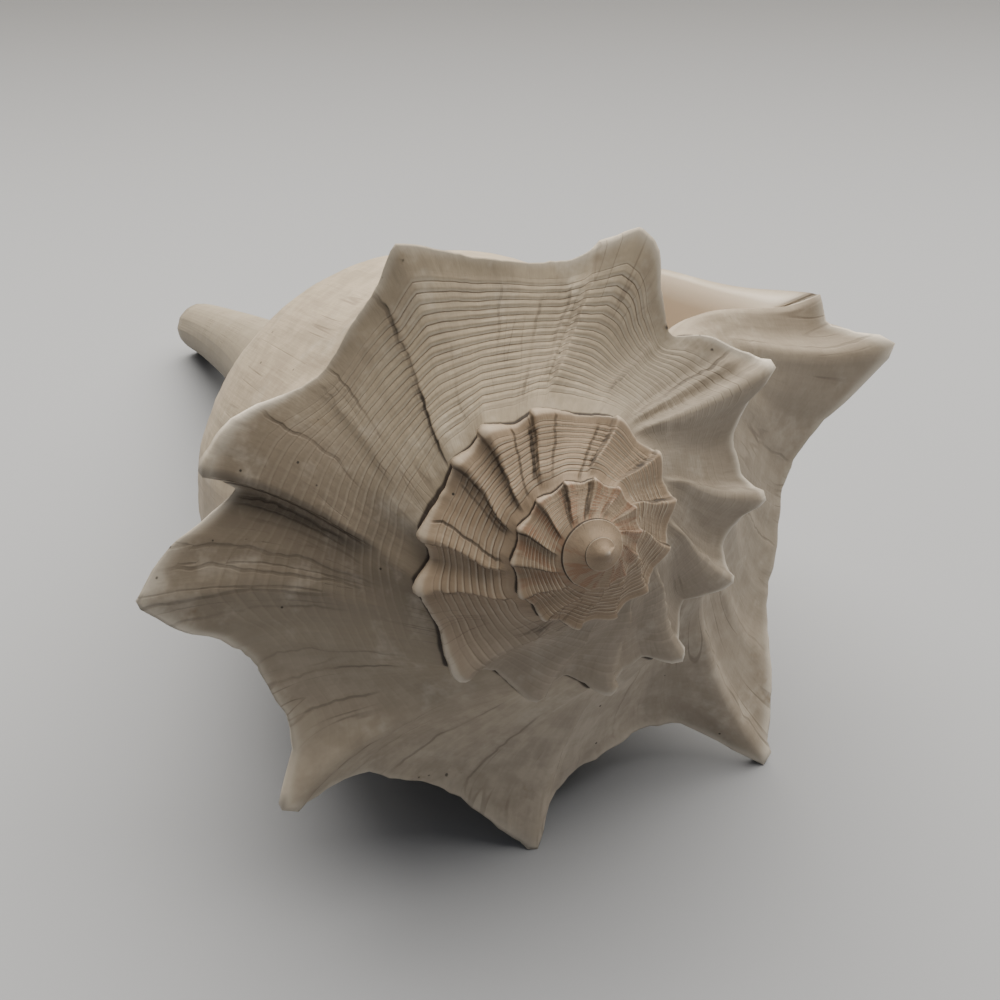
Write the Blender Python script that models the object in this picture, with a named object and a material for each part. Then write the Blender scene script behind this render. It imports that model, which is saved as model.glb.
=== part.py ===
"""A lightning whelk shell, lying on two of its shoulder spines and the end of its canal.

The shell is one piece. Its skin is a sheet that winds round the axis of coiling. Each column of points is
an old growth line: from the seam with the whorl before, out over the sloping shoulder to the keel with its
spines, and down the body to the end of the siphonal canal. The whelk coils to the left, so seen from the
apex the turn angles grow counter-clockwise. Turn 0 is the outer lip, and negative turns lead back from it
to the apex. The inside of the mouth is a second sheet within the last whorl, and so the walls are solid.
"""

import math

import bmesh
import bpy
import numpy as np
from mathutils import Matrix, Vector

# Driving dimensions, in metres and degrees. A length in lip radii is a multiple of the first one.
LIP_RADIUS = 0.0665  # axis to the shoulder keel at the outer lip, between spines
WHORL_GROWTH = 2.028  # size of each whorl over the one before
FIRST_TURN = -1440.0  # where the sculptured whorls begin, outside the smooth nucleus
LIP_THICKNESS = 0.0042

# The keel of the last two whorls: degrees back from the lip, and how far it stands out, in millimetres.
KEEL = [
    (0, 4.2), (4, 4.2), (7, 9.0), (10, 15.8), (13, 11.5), (18, 3.6), (23, -1.6), (30, -3.7), (40, -1.6),
    (48, 0.1), (55, 4.5), (60, 9.5), (64, 13.4), (70, 18.4), (72, 9.0), (75, 1.8), (82, -2.1), (97, -1.0),
    (102, 1.1), (108, 9.5), (113, 5.9), (119, 1.4), (128, -1.6), (142, -0.2), (147, 3.5), (154, 11.0),
    (158, 3.8), (164, 0.9), (176, 1.0), (185, 5.2), (188, 9.6), (196, 17.1), (203, 11.8), (206, 7.4),
    (212, 3.0), (215, 8.5), (222, 7.6), (234, 0.2), (240, -1.3), (246, 0.2), (258, 3.5), (265, 8.5),
    (272, 5.2), (280, 2.4), (292, 1.2), (300, 2.2), (307, 5.7), (313, 10.1), (317, 9.5), (324, 4.1),
    (334, 0.4), (339, 3.8), (348, 7.9), (355, 11.3), (359, 6.0), (368, 2.6), (376, 3.1), (384, 7.2),
    (388, 4.1), (396, 2.2), (406, 5.3), (411, 2.6), (417, -0.2), (427, 3.5), (431, 5.9), (439, 1.2),
    (447, 1.7), (454, 3.5), (460, 0.5), (466, -1.2), (475, 0.1), (480, 2.1), (487, 0.5), (497, -0.9),
    (505, 0.9), (510, 3.1), (518, 1.6), (529, 0.2), (547, 1.4), (557, -1.4), (567, 1.0), (585, -0.2),
    (598, 1.0), (605, 0.3), (614, 1.5), (626, -0.6), (636, 0.5), (655, -0.6), (677, 0.8), (692, -0.1),
]
EARLY_SPACING = 26.0  # degrees between the small spines of the first whorls
EARLY_REACH = 0.07  # their reach, as a share of the keel radius

# A spine leans towards the apex, and runs down the body as a fold. The shoulder is hollow before it.
SPINE_LEAN = 0.2  # rise per metre of reach
FOLD_DEPTH = 0.30  # how far down the body it runs, per metre of keel radius
CREST_RISE = 0.10  # height of the crest on the shoulder, per metre of reach
CREST_WIDTH = 7.0  # degrees
HOLLOW_DIP = 0.16
HOLLOW_PLACE = -13.0
HOLLOW_WIDTH = 8.0
SHOULDER_SAG = 0.035  # of the shoulder between seam and keel, in lip radii
SHOULDER_LEAN = 0.3  # the sag and the folds move inwards by this much per metre down
SEAM_LEAD = 25.0  # growth lines reach the seam this many degrees ahead of the keel
LEAD_CURVE = 1.8  # most of that lead is gained near the seam

# Outline of the shell below the keel, as (radius, drop from the apex) in lip radii. The first is taken at
# the outer lip, and the second a whorl earlier, where it is the inner wall of the mouth.
LIP_OUTLINE = [
    (1.000, 0.680), (0.980, 0.715), (0.930, 0.900), (0.895, 1.200), (0.850, 1.480), (0.770, 1.770),
    (0.640, 2.060), (0.450, 2.350), (0.290, 2.640), (0.185, 2.940), (0.130, 3.210), (0.100, 3.440),
]
INNER_OUTLINE = [
    (0.493, 0.335), (0.490, 0.353), (0.500, 0.440), (0.512, 0.590), (0.510, 0.730), (0.480, 0.870),
    (0.400, 1.050), (0.290, 1.300), (0.185, 1.660), (0.128, 2.150), (0.100, 2.800), (0.086, 3.400),
]
KEEL_DROP = LIP_OUTLINE[0][1]
SEAM_SHARE = 1.0 / (len(LIP_OUTLINE) - 1)  # place of the next whorl's seam along the outline

# The canal bends down and is open along the mouth.
BEND_START = 2.2  # lip radii from the apex
BEND = 0.05  # sideways shift of its end
BEND_TURN = -110.0
SLOT_TURN = 55.0  # how far the lip draws back beside the open canal
SLOT_SHARE = 0.55  # the lip starts to draw back at this share of the outline

# The hollow of the mouth.
MOUTH_TURN = 320.0  # how far back it reaches at the shoulder
CANAL_TURN = 150.0  # and in the canal
REACH_SHARE = 0.77  # share of the outline over which the one passes into the other
CANAL_HOLLOW = 0.045  # depth of the canal's hollow, in lip radii
CANAL_SHARE = 0.5  # share of the outline where the canal starts
CANAL_BLEND = 0.3
THIN_WALL = 0.35  # of the lip's thickness, deep inside
CANAL_WALL = 0.5  # of it, at the canal's end
INNER_BLEND = 8.0  # the inner wall is at its full depth after one part in this many of the hollow

# Mesh density.
STEP = 5.0  # degrees of turn between columns
PER_TURN = round(360.0 / STEP)
LEAD_STEPS = round(SEAM_LEAD / STEP)
SHOULDER_ROWS = 6
BODY_ROWS = 18
MOUTH_COLUMNS = 26

# How the shell lies, in degrees: its axis runs along Y and slopes down to the canal.
AXIS_SLOPE = 15.4
SPIN = 14.6

SHELL_COLOUR = (0.66, 0.62, 0.55, 1.0)
SHELL_ROUGHNESS = 0.65


def size(turn):
    """Keel radius at a turn, in lip radii."""
    return WHORL_GROWTH ** (turn / 360.0)


def eased(x):
    x = np.clip(x, 0.0, 1.0)
    return x * x * (3 - 2 * x)


def keel_points():
    """Rising turns of the keel's points, and how far they stand out, in lip radii."""
    found = [(-back, stand * 0.001 / LIP_RADIUS) for back, stand in KEEL]
    turn = found[-1][0] - EARLY_SPACING / 2
    while turn > FIRST_TURN - 2 * EARLY_SPACING:
        found.append((turn, EARLY_REACH * size(turn)))
        found.append((turn - EARLY_SPACING / 2, 0.0))
        turn -= EARLY_SPACING
    return np.array(found[::-1]).T


def level_slopes(x, y):
    """Slopes for a smooth curve through the points that overshoots none of them."""
    step = np.diff(x)
    rise = np.diff(y) / step
    slopes = np.zeros_like(y)
    for n in range(1, len(x) - 1):
        if rise[n - 1] * rise[n] > 0:
            slopes[n] = 2 * rise[n - 1] * rise[n] / (rise[n - 1] + rise[n])
    return slopes


KEEL_TURNS, KEEL_STANDS = keel_points()
KEEL_SLOPES = level_slopes(KEEL_TURNS, KEEL_STANDS)
SPINES = [
    (KEEL_TURNS[n], KEEL_STANDS[n])
    for n in range(1, len(KEEL_TURNS) - 1)
    if KEEL_STANDS[n] > max(KEEL_STANDS[n - 1], KEEL_STANDS[n + 1])
]


def keel_stand(turn):
    """How far the keel stands out at a turn, in lip radii."""
    n = int(np.clip(np.searchsorted(KEEL_TURNS, turn) - 1, 0, len(KEEL_TURNS) - 2))
    step = KEEL_TURNS[n + 1] - KEEL_TURNS[n]
    t = np.clip((turn - KEEL_TURNS[n]) / step, 0.0, 1.0)
    start = (1 + 2 * t) * (1 - t) ** 2 * KEEL_STANDS[n] + t * (1 - t) ** 2 * step * KEEL_SLOPES[n]
    end = t * t * (3 - 2 * t) * KEEL_STANDS[n + 1] - t * t * (1 - t) * step * KEEL_SLOPES[n + 1]
    return start + end


def relief(turn):
    """Height of the shoulder's folds at a turn: a crest at each spine, and a hollow before it."""
    height = 0.0
    for place, reach in SPINES:
        crest = math.exp(-(((turn - place) / CREST_WIDTH) ** 2))
        hollow = math.exp(-(((turn - place - HOLLOW_PLACE) / HOLLOW_WIDTH) ** 2))
        height += reach * (CREST_RISE * crest - HOLLOW_DIP * hollow)
    return height


def smooth_curve(points, share):
    """Points at these shares, 0 to 1, of a Catmull-Rom curve through the given points."""
    knots = np.array(points, float)
    knots = np.vstack([2 * knots[0] - knots[1], knots, 2 * knots[-1] - knots[-2]])
    place = np.clip(np.asarray(share, float), 0, 1) * (len(points) - 1)
    first = np.minimum(place.astype(int), len(points) - 2)
    t = (place - first)[..., None]
    a, b, c, d = (knots[first + n] for n in range(4))
    return 0.5 * (2 * b + (c - a) * t + (2 * a - 5 * b + 4 * c - d) * t**2 + (3 * b - a - 3 * c + d) * t**3)


def body(turn, share, spined=True):
    """(angle, radius, drop) of the wall at these shares of the way from the keel to the canal's end."""
    share = np.asarray(share, float)
    lip = smooth_curve(LIP_OUTLINE, share)
    inner = smooth_curve(INNER_OUTLINE, share)
    if turn < -360.0:
        point = lip * size(turn)
    else:
        point = inner + (lip - inner) * (size(turn) - size(-360.0)) / (1 - size(-360.0))
    if spined:
        below = (point[..., 1] - KEEL_DROP * size(turn)) / (FOLD_DEPTH * size(turn))
        stand = keel_stand(turn) * np.clip(1 - below, 0, 1) ** 2
        point = point + np.stack([stand, -SPINE_LEAN * stand], -1)
    slot = eased((share - SLOT_SHARE) / (1 - SLOT_SHARE)) * max(0.0, 1 + turn / (360.0 - SEAM_LEAD))
    angle = np.radians(turn - SLOT_TURN * slot)
    return np.concatenate([angle[..., None], point], -1)


def shoulder(turn, seam_turn, share, spined=True):
    """(angle, radius, drop) of the sloping shoulder, from the seam at share 0 to the keel at 1."""
    share = np.asarray(share, float)[:, None]
    seam = body(seam_turn, SEAM_SHARE, spined)
    seam_plain = body(seam_turn, SEAM_SHARE, False)
    keel = body(turn, 0.0, spined)
    keel_plain = body(turn, 0.0, False)
    line = seam_plain + (keel_plain - seam_plain) * share
    line[:, 0] = keel[0] + (seam[0] + 2 * math.pi - keel[0]) * (1 - share[:, 0]) ** LEAD_CURVE
    sag = SHOULDER_SAG * size(turn) * 4 * share * (1 - share)
    rise = relief(turn) * share**1.5 * (1 - share**6) if spined else 0.0
    level = np.array([0.0, -SHOULDER_LEAN, 1.0]) * (sag - rise)
    return line + level + (seam - seam_plain) * (1 - share) ** 3 + (keel - keel_plain) * share**3


BODY_SHARES = np.concatenate([[0.0], np.linspace(SEAM_SHARE, 1.0, BODY_ROWS)])
SEAM_ROW = SHOULDER_ROWS + 1


def growth_line(turn, seam_turn, spined=True):
    """(angle, radius, drop) of one column, from the seam over the keel to the canal's end."""
    rows = np.arange(SHOULDER_ROWS) / SHOULDER_ROWS
    return np.vstack([shoulder(turn, seam_turn, rows, spined), body(turn, BODY_SHARES, spined)])


def to_place(points):
    """(angle, radius, drop) in lip radii to metres, with the apex at the origin and +Z towards it."""
    angle, radius, drop = np.moveaxis(points, -1, 0)
    bend = BEND * np.clip((drop - BEND_START) / (LIP_OUTLINE[-1][1] - BEND_START), 0, 1) ** 2
    x = radius * np.cos(angle) + bend * math.cos(math.radians(BEND_TURN))
    y = radius * np.sin(angle) + bend * math.sin(math.radians(BEND_TURN))
    return LIP_RADIUS * np.stack([x, y, -drop], -1)


def column_turns():
    """Turns of the columns: even steps, moved to the keel's own points where one is near."""
    turns = np.arange(FIRST_TURN, STEP / 2, STEP)
    for n, turn in enumerate(turns):
        nearest = KEEL_TURNS[np.argmin(np.abs(KEEL_TURNS - turn))]
        if abs(nearest - turn) < STEP / 2:
            turns[n] = nearest
    return turns


def mouth_walls(depth):
    """Outer and inner wall of the mouth's hollow, at a depth from 0, the lip, to 1, its closed end."""
    shares = np.concatenate([np.zeros(SHOULDER_ROWS), BODY_SHARES])
    backs = MOUTH_TURN + (CANAL_TURN - MOUTH_TURN) * eased(shares / REACH_SHARE)
    wall = np.empty((len(shares), 3))
    pillar = np.empty((len(shares), 3))
    for row, (share, back) in enumerate(zip(shares, backs)):
        turn = -back * depth
        line = growth_line(turn, turn - 360.0 + SEAM_LEAD, False)
        along = np.gradient(line[:, 1:], axis=0)[row]
        along /= np.linalg.norm(along)
        thickness = LIP_THICKNESS / LIP_RADIUS * (1 - (1 - CANAL_WALL) * share)
        thickness *= THIN_WALL + (1 - THIN_WALL) * size(turn)
        wall[row] = line[row] + np.array([0.0, -along[1], along[0]]) * thickness
        start = body(-360.0 + SEAM_LEAD, share, False)
        shrink = size(turn) ** (1 - share)
        dip = CANAL_HOLLOW * eased((share - CANAL_SHARE) / CANAL_BLEND) * 4 * depth * (1 - depth)
        deeper = thickness * min(1.0, INNER_BLEND * depth) * (1 - share)
        pillar[row] = (start[0] + 2 * math.pi + wall[row][0], start[1] * shrink - dip, start[2] * shrink + deeper)
    return wall, pillar[SEAM_ROW:]


class Skin:
    """Collects points and faces."""

    def __init__(self):
        self.mesh = bmesh.new()

    def points(self, places):
        return [self.mesh.verts.new(p) for p in places]

    def face(self, *corners):
        kept = [c for n, c in enumerate(corners) if c not in corners[:n]]
        if len(kept) > 2:
            self.mesh.faces.new(kept)

    def strip(self, a, b):
        """Quads between two rows, as far as both reach."""
        for n in range(min(len(a), len(b)) - 1):
            self.face(a[n], a[n + 1], b[n + 1], b[n])

    def zip(self, a, b):
        """Triangles between two rows of any length, each across the shorter diagonal."""
        n = m = 0
        while n < len(a) - 1 or m < len(b) - 1:
            if m == len(b) - 1:
                step_a = True
            elif n == len(a) - 1:
                step_a = False
            else:
                step_a = (a[n + 1].co - b[m].co).length < (a[n].co - b[m + 1].co).length
            if step_a:
                self.face(a[n], a[n + 1], b[m])
                n += 1
            else:
                self.face(a[n], b[m + 1], b[m])
                m += 1


def add_whorls(skin):
    """The outside: returns its columns. Each begins on the whorl before, at its seam."""
    turns = column_turns()
    full_from = len(turns) - 1 - PER_TURN + LEAD_STEPS
    columns = []
    for n, turn in enumerate(turns):
        earlier = n - PER_TURN + LEAD_STEPS
        seam_turn = turns[earlier] if earlier >= 0 else turn - 360.0 + SEAM_LEAD
        points = to_place(growth_line(turn, seam_turn))
        if n < full_from:
            points = points[: SEAM_ROW + 1]
        if earlier < 0:
            columns.append(skin.points(points))
        else:
            columns.append([columns[earlier][SEAM_ROW], *skin.points(points[1:])])
    for a, b in zip(columns, columns[1:]):
        skin.strip(a, b)
    return columns, full_from


def add_nucleus(skin, columns):
    """The smooth tip of the spire, which closes the first whorl."""
    rim = [column[0] for column in columns[: PER_TURN - LEAD_STEPS + 1]]
    rim += columns[0][SEAM_ROW - 1 : 0 : -1]
    tip = skin.points([(0.0, 0.0, 0.0)])[0]
    for a, b in zip(rim, rim[1:] + rim[:1]):
        skin.face(a, b, tip)


def add_mouth(skin, columns, full_from):
    """The hollow behind the lip, and the rim at the canal's end."""
    outer = []
    inner = [columns[full_from][SEAM_ROW:]]
    for k in range(MOUTH_COLUMNS + 1):
        wall, pillar = mouth_walls(k / MOUTH_COLUMNS)
        outer.append(skin.points(to_place(wall)))
        if k:
            inner.append(skin.points(to_place(pillar)))
    skin.strip(columns[-1], outer[0])
    for k in range(MOUTH_COLUMNS):
        skin.strip(outer[k], outer[k + 1])
        skin.strip(inner[k + 1], inner[k])
        skin.face(outer[k + 1][0], outer[k][0], inner[k][0], inner[k + 1][0])
    skin.zip(inner[-1], outer[-1])
    rim = [column[-1] for column in columns[: full_from - 1 : -1]]
    skin.zip(rim, [row[-1] for row in outer] + [row[-1] for row in reversed(inner)])


def shell_mesh():
    skin = Skin()
    columns, full_from = add_whorls(skin)
    add_nucleus(skin, columns)
    add_mouth(skin, columns, full_from)
    bmesh.ops.recalc_face_normals(skin.mesh, faces=skin.mesh.faces)
    data = bpy.data.meshes.new("whelk_shell")
    skin.mesh.to_mesh(data)
    skin.mesh.free()
    data.shade_smooth()
    return data


def shell_material():
    material = bpy.data.materials.new("bleached_shell")
    material.use_nodes = True
    shader = material.node_tree.nodes["Principled BSDF"]
    shader.inputs["Base Color"].default_value = SHELL_COLOUR
    shader.inputs["Roughness"].default_value = SHELL_ROUGHNESS
    shader.inputs["Metallic"].default_value = 0.0
    return material


def lay_down(shell):
    """Turns the shell as it lies, with the middle of its box's underside at the origin."""
    slope = Matrix.Rotation(math.radians(90.0 - AXIS_SLOPE), 4, "X")
    turned = slope @ Matrix.Rotation(math.radians(SPIN), 4, "Z")
    places = np.array([turned @ v.co for v in shell.data.vertices])
    low, high = places.min(0), places.max(0)
    foot = Vector(((low[0] + high[0]) / 2, (low[1] + high[1]) / 2, low[2]))
    shell.matrix_world = Matrix.Translation(-foot) @ turned


def main():
    for old in list(bpy.data.objects):
        bpy.data.objects.remove(old)
    data = shell_mesh()
    data.materials.append(shell_material())
    shell = bpy.data.objects.new("whelk_shell", data)
    bpy.context.scene.collection.objects.link(shell)
    lay_down(shell)


main()
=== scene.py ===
"""A bleached lightning whelk shell on a pale sweep, seen over its spire.

The shell is one closed mesh. Each column of points is an old growth line, from the seam with the whorl
before, over the shoulder and its keel, and down the body. Every point carries its turn and its place along
the growth line, and the cords, growth ridges, cracks and colours all follow these two.
"""

import math

import bmesh
import bpy
import numpy as np
from mathutils import Matrix, Vector


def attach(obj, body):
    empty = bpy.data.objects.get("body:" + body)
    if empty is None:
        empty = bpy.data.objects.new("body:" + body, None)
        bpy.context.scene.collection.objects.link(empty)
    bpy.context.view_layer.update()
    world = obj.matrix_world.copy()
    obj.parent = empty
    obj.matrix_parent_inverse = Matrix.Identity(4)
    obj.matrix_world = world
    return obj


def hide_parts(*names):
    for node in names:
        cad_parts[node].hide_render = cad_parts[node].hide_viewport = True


# Driving dimensions, in metres and degrees. A length in lip radii is a multiple of the first one.
LIP_RADIUS = 0.0665  # axis to the shoulder keel at the outer lip, between spines
WHORL_GROWTH = 2.028  # size of each whorl over the one before
FIRST_TURN = -1800.0  # where the first whorl begins, outside the smooth nucleus
SMOOTH_TURN = -1250.0  # the whorls before this have no spines or cords
SMOOTH_FADE = 120.0  # degrees over which the spines and chips grow to full height
LIP_THICKNESS = 0.0042

# The keel of the last two whorls: degrees back from the lip, and how far it stands out, in millimetres.
KEEL = [
    (0, 4.2), (4, 4.2), (7, 9.0), (10, 15.8), (13, 11.5), (18, 3.6), (23, -1.6), (30, -3.7), (40, -1.6),
    (48, 0.1), (55, 4.5), (60, 9.5), (64, 13.4), (70, 18.4), (72, 9.0), (75, 1.8), (82, -2.1), (97, -1.0),
    (102, 1.1), (108, 9.5), (113, 5.9), (119, 1.4), (128, -1.6), (142, -0.2), (147, 3.5), (154, 11.0),
    (158, 3.8), (164, 0.9), (176, 1.0), (185, 5.2), (188, 9.6), (196, 17.1), (203, 11.8), (206, 7.4),
    (212, 3.0), (215, 8.5), (222, 7.6), (234, 0.2), (240, -1.3), (246, 0.2), (258, 3.5), (265, 8.5),
    (272, 5.2), (280, 2.4), (292, 1.2), (300, 2.2), (307, 5.7), (313, 10.1), (317, 9.5), (324, 4.1),
    (334, 0.4), (339, 3.8), (348, 7.9), (355, 11.3), (359, 6.0), (368, 2.6), (376, 3.1), (384, 7.2),
    (388, 4.1), (396, 2.2), (406, 5.3), (411, 2.6), (417, -0.2), (427, 3.5), (431, 5.9), (439, 1.2),
    (447, 1.7), (454, 3.5), (460, 0.5), (466, -1.2), (475, 0.1), (480, 2.1), (487, 0.5), (497, -0.9),
    (505, 0.9), (510, 3.1), (518, 1.6), (529, 0.2), (547, 1.4), (557, -1.4), (567, 1.0), (585, -0.2),
    (598, 1.0), (605, 0.3), (614, 1.5), (626, -0.6), (636, 0.5), (655, -0.6), (677, 0.8), (692, -0.1),
]
EARLY_SPACING = 26.0  # degrees between the small spines of the first whorls
EARLY_REACH = 0.07  # their reach, as a share of the keel radius

TIP_SHARPNESS = 0.75  # 0 rounds the tips of the spines, and 1 leaves them pointed
CHIPPED = 0.008  # depth of the chips and teeth along the worn keel, per metre of keel radius
CHIP_SPACING = 3.1  # degrees

# A spine leans towards the apex, and runs down the body as a fold. The shoulder is hollow before it.
SPINE_LEAN = 0.2  # rise per metre of reach
FOLD_DEPTH = 0.30  # how far down the body it runs, per metre of keel radius
CREST_RISE = 0.07  # height of the crest on the shoulder, per metre of reach
CREST_WIDTH = 7.0  # degrees
HOLLOW_DIP = 0.10
FLATTER_FROM = -275.0  # between these turns the crests and hollows are lower
FLATTER_TO = -185.0
FLATTER = 0.3
HOLLOW_PLACE = -13.0
HOLLOW_WIDTH = 8.0
SHOULDER_SAG = 0.035  # of the shoulder between seam and keel, in lip radii
SHOULDER_LEAN = 0.3  # the sag and the folds move inwards by this much per metre down
SEAM_LEAD = 25.0  # growth lines reach the seam this many degrees ahead of the keel
LEAD_CURVE = 1.8  # most of that lead is gained near the seam

# Outline of the shell below the keel, as (radius, drop from the apex) in lip radii. The first is taken at
# the outer lip, and the second a whorl earlier, where it is the inner wall of the mouth.
LIP_OUTLINE = [
    (1.000, 0.680), (0.980, 0.715), (0.930, 0.900), (0.895, 1.200), (0.850, 1.480), (0.770, 1.770),
    (0.640, 2.060), (0.450, 2.350), (0.290, 2.640), (0.185, 2.940), (0.130, 3.210), (0.100, 3.440),
]
INNER_OUTLINE = [
    (0.493, 0.335), (0.490, 0.353), (0.500, 0.440), (0.512, 0.590), (0.510, 0.730), (0.480, 0.870),
    (0.400, 1.050), (0.290, 1.300), (0.185, 1.660), (0.128, 2.150), (0.100, 2.800), (0.086, 3.400),
]
KEEL_DROP = LIP_OUTLINE[0][1]
SEAM_SHARE = 1.0 / (len(LIP_OUTLINE) - 1)  # place of the next whorl's seam along the outline

# The canal bends down and is open along the mouth.
BEND_START = 2.2  # lip radii from the apex
BEND = 0.05  # sideways shift of its end, in lip radii
BEND_TURN = -110.0
SLOT_TURN = 55.0  # how far the lip draws back beside the open canal
SLOT_SHARE = 0.55  # the lip starts to draw back at this share of the outline
LIP_BULGE = 6.5  # degrees by which the lip's edge bows forward below the shoulder
BULGE_SHARE = 0.7  # share of the outline, from the keel, that bows
SHOULDER_BOW = 3.5  # degrees by which it bows forward on the shoulder, near the seam
BOW_TURN = 70.0  # how far back from the lip the growth lines bow too

# The hollow of the mouth.
MOUTH_TURN = 320.0  # how far back it reaches at the shoulder
CANAL_TURN = 150.0  # and in the canal
REACH_SHARE = 0.77  # share of the outline over which the one passes into the other
CANAL_HOLLOW = 0.045  # depth of the canal's hollow, in lip radii
CANAL_SHARE = 0.5  # share of the outline where the canal starts
CANAL_BLEND = 0.3
THIN_WALL = 0.35  # of the lip's thickness, deep inside
CANAL_WALL = 0.5  # of it, at the canal's end
PILLAR_STEP = 8.0  # how soon behind the lip the pillar wall drops by the lip's thickness

# Mesh density.
PER_TURN = 288  # columns in a turn
LEAD_STEPS = 20  # columns by which the seam leads the keel
WHORL_ROWS = [(-1440, 8), (-1080, 17), (-720, 34), (-355, 51), (0, 102)]  # up to a turn, of the shoulder
KEEL_ROWS = 6  # rows from the keel to the seam
BODY_ROWS = 68  # rows from the seam to the canal's end
MOUTH_COLUMNS = 40

# How the shell lies, in degrees: its axis runs along Y and slopes down to the canal.
AXIS_SLOPE = 15.4
SPIN = 14.6

# Camera, from a fit to the photograph. The apex is where it is in the picture, and the turns are about the
# camera's own axes.
LENS = 61.2
SENSOR = 36.0
CAMERA_DISTANCE = 0.24287
CAMERA_TURNS = (15.78, 24.3, 22.44)
APEX_ACROSS = 0.06359
APEX_DOWN = 0.03224


def size(turn):
    """Keel radius at a turn, in lip radii."""
    return WHORL_GROWTH ** (np.asarray(turn, float) / 360.0)


def eased(x):
    x = np.clip(x, 0.0, 1.0)
    return x * x * (3 - 2 * x)


def hashed(i, j, seed):
    """A value from 0 to 1 for each pair of whole numbers, the same in every run."""
    h = (i.astype(np.int64) * 374761393 + j.astype(np.int64) * 668265263 + seed * 974634777) & 0xFFFFFFFF
    h = ((h ^ (h >> 13)) * 1274126177) & 0xFFFFFFFF
    h = ((h ^ (h >> 16)) * 2246822519) & 0xFFFFFFFF
    return (h & 0xFFFF) / 65535.0


def noise(x, y=0.0, seed=0):
    """Smooth noise from -1 to 1."""
    x, y = np.broadcast_arrays(np.asarray(x, float), np.asarray(y, float))
    i, j = np.floor(x), np.floor(y)
    u, v = eased(x - i), eased(y - j)
    low = hashed(i, j, seed) * (1 - u) + hashed(i + 1, j, seed) * u
    high = hashed(i, j + 1, seed) * (1 - u) + hashed(i + 1, j + 1, seed) * u
    return 2 * (low * (1 - v) + high * v) - 1


def rough_noise(x, y=0.0, seed=0, octaves=4):
    """Noise with finer and fainter noise on it."""
    total = 0.0
    for n in range(octaves):
        total = total + noise(x * 2**n, y * 2**n, seed + n) * 0.5**n
    return total / 1.6


def keel_points():
    """Rising turns of the keel's points, and how far they stand out, in lip radii."""
    found = [(-back, stand * 0.001 / LIP_RADIUS) for back, stand in KEEL]
    turn = found[-1][0] - EARLY_SPACING / 2
    while turn > FIRST_TURN - 2 * EARLY_SPACING:
        grown = float(size(turn)) * float(eased((turn - SMOOTH_TURN) / SMOOTH_FADE))
        found.append((turn, EARLY_REACH * grown))
        found.append((turn - EARLY_SPACING / 2, 0.0))
        turn -= EARLY_SPACING
    return np.array(found[::-1]).T


def keel_slopes(x, y):
    """Slopes into and out of each point, for a curve that overshoots none. Only the peaks are pointed."""
    rise = np.diff(y) / np.diff(x)
    into, out_of = np.zeros_like(y), np.zeros_like(y)
    for n in range(1, len(x) - 1):
        if rise[n - 1] * rise[n] > 0:
            into[n] = out_of[n] = 2 * rise[n - 1] * rise[n] / (rise[n - 1] + rise[n])
        elif rise[n - 1] > 0:
            into[n], out_of[n] = TIP_SHARPNESS * rise[n - 1], TIP_SHARPNESS * rise[n]
    return into, out_of


KEEL_TURNS, KEEL_STANDS = keel_points()
SLOPES_IN, SLOPES_OUT = keel_slopes(KEEL_TURNS, KEEL_STANDS)
SPINES = [
    (KEEL_TURNS[n], KEEL_STANDS[n])
    for n in range(1, len(KEEL_TURNS) - 1)
    if KEEL_STANDS[n] > max(KEEL_STANDS[n - 1], KEEL_STANDS[n + 1])
]


def keel_stand(turn):
    """How far the keel stands out at a turn, in lip radii."""
    n = np.clip(np.searchsorted(KEEL_TURNS, turn) - 1, 0, len(KEEL_TURNS) - 2)
    step = KEEL_TURNS[n + 1] - KEEL_TURNS[n]
    t = np.clip((turn - KEEL_TURNS[n]) / step, 0.0, 1.0)
    start = (1 + 2 * t) * (1 - t) ** 2 * KEEL_STANDS[n] + t * (1 - t) ** 2 * step * SLOPES_OUT[n]
    end = t * t * (3 - 2 * t) * KEEL_STANDS[n + 1] - t * t * (1 - t) * step * SLOPES_IN[n + 1]
    return start + end


def relief(turn):
    """Height of the shoulder's folds at a turn: a crest at each spine, and a hollow before it."""
    height = 0.0
    for place, reach in SPINES:
        crest = np.exp(-(((turn - place) / CREST_WIDTH) ** 2))
        hollow = np.exp(-(((turn - place - HOLLOW_PLACE) / HOLLOW_WIDTH) ** 2))
        reach = reach * (FLATTER if FLATTER_FROM < place < FLATTER_TO else 1.0)
        height = height + reach * (CREST_RISE * crest - HOLLOW_DIP * hollow)
    return height


def smooth_curve(points, share):
    """Points at these shares, 0 to 1, of a Catmull-Rom curve through the given points."""
    knots = np.array(points, float)
    knots = np.vstack([2 * knots[0] - knots[1], knots, 2 * knots[-1] - knots[-2]])
    place = np.clip(share, 0, 1) * (len(points) - 1)
    first = np.minimum(place.astype(int), len(points) - 2)
    t = (place - first)[..., None]
    a, b, c, d = (knots[first + n] for n in range(4))
    bent = (2 * a - 5 * b + 4 * c - d) * t**2 + (3 * b - a - 3 * c + d) * t**3
    return 0.5 * (2 * b + (c - a) * t + bent)


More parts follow.
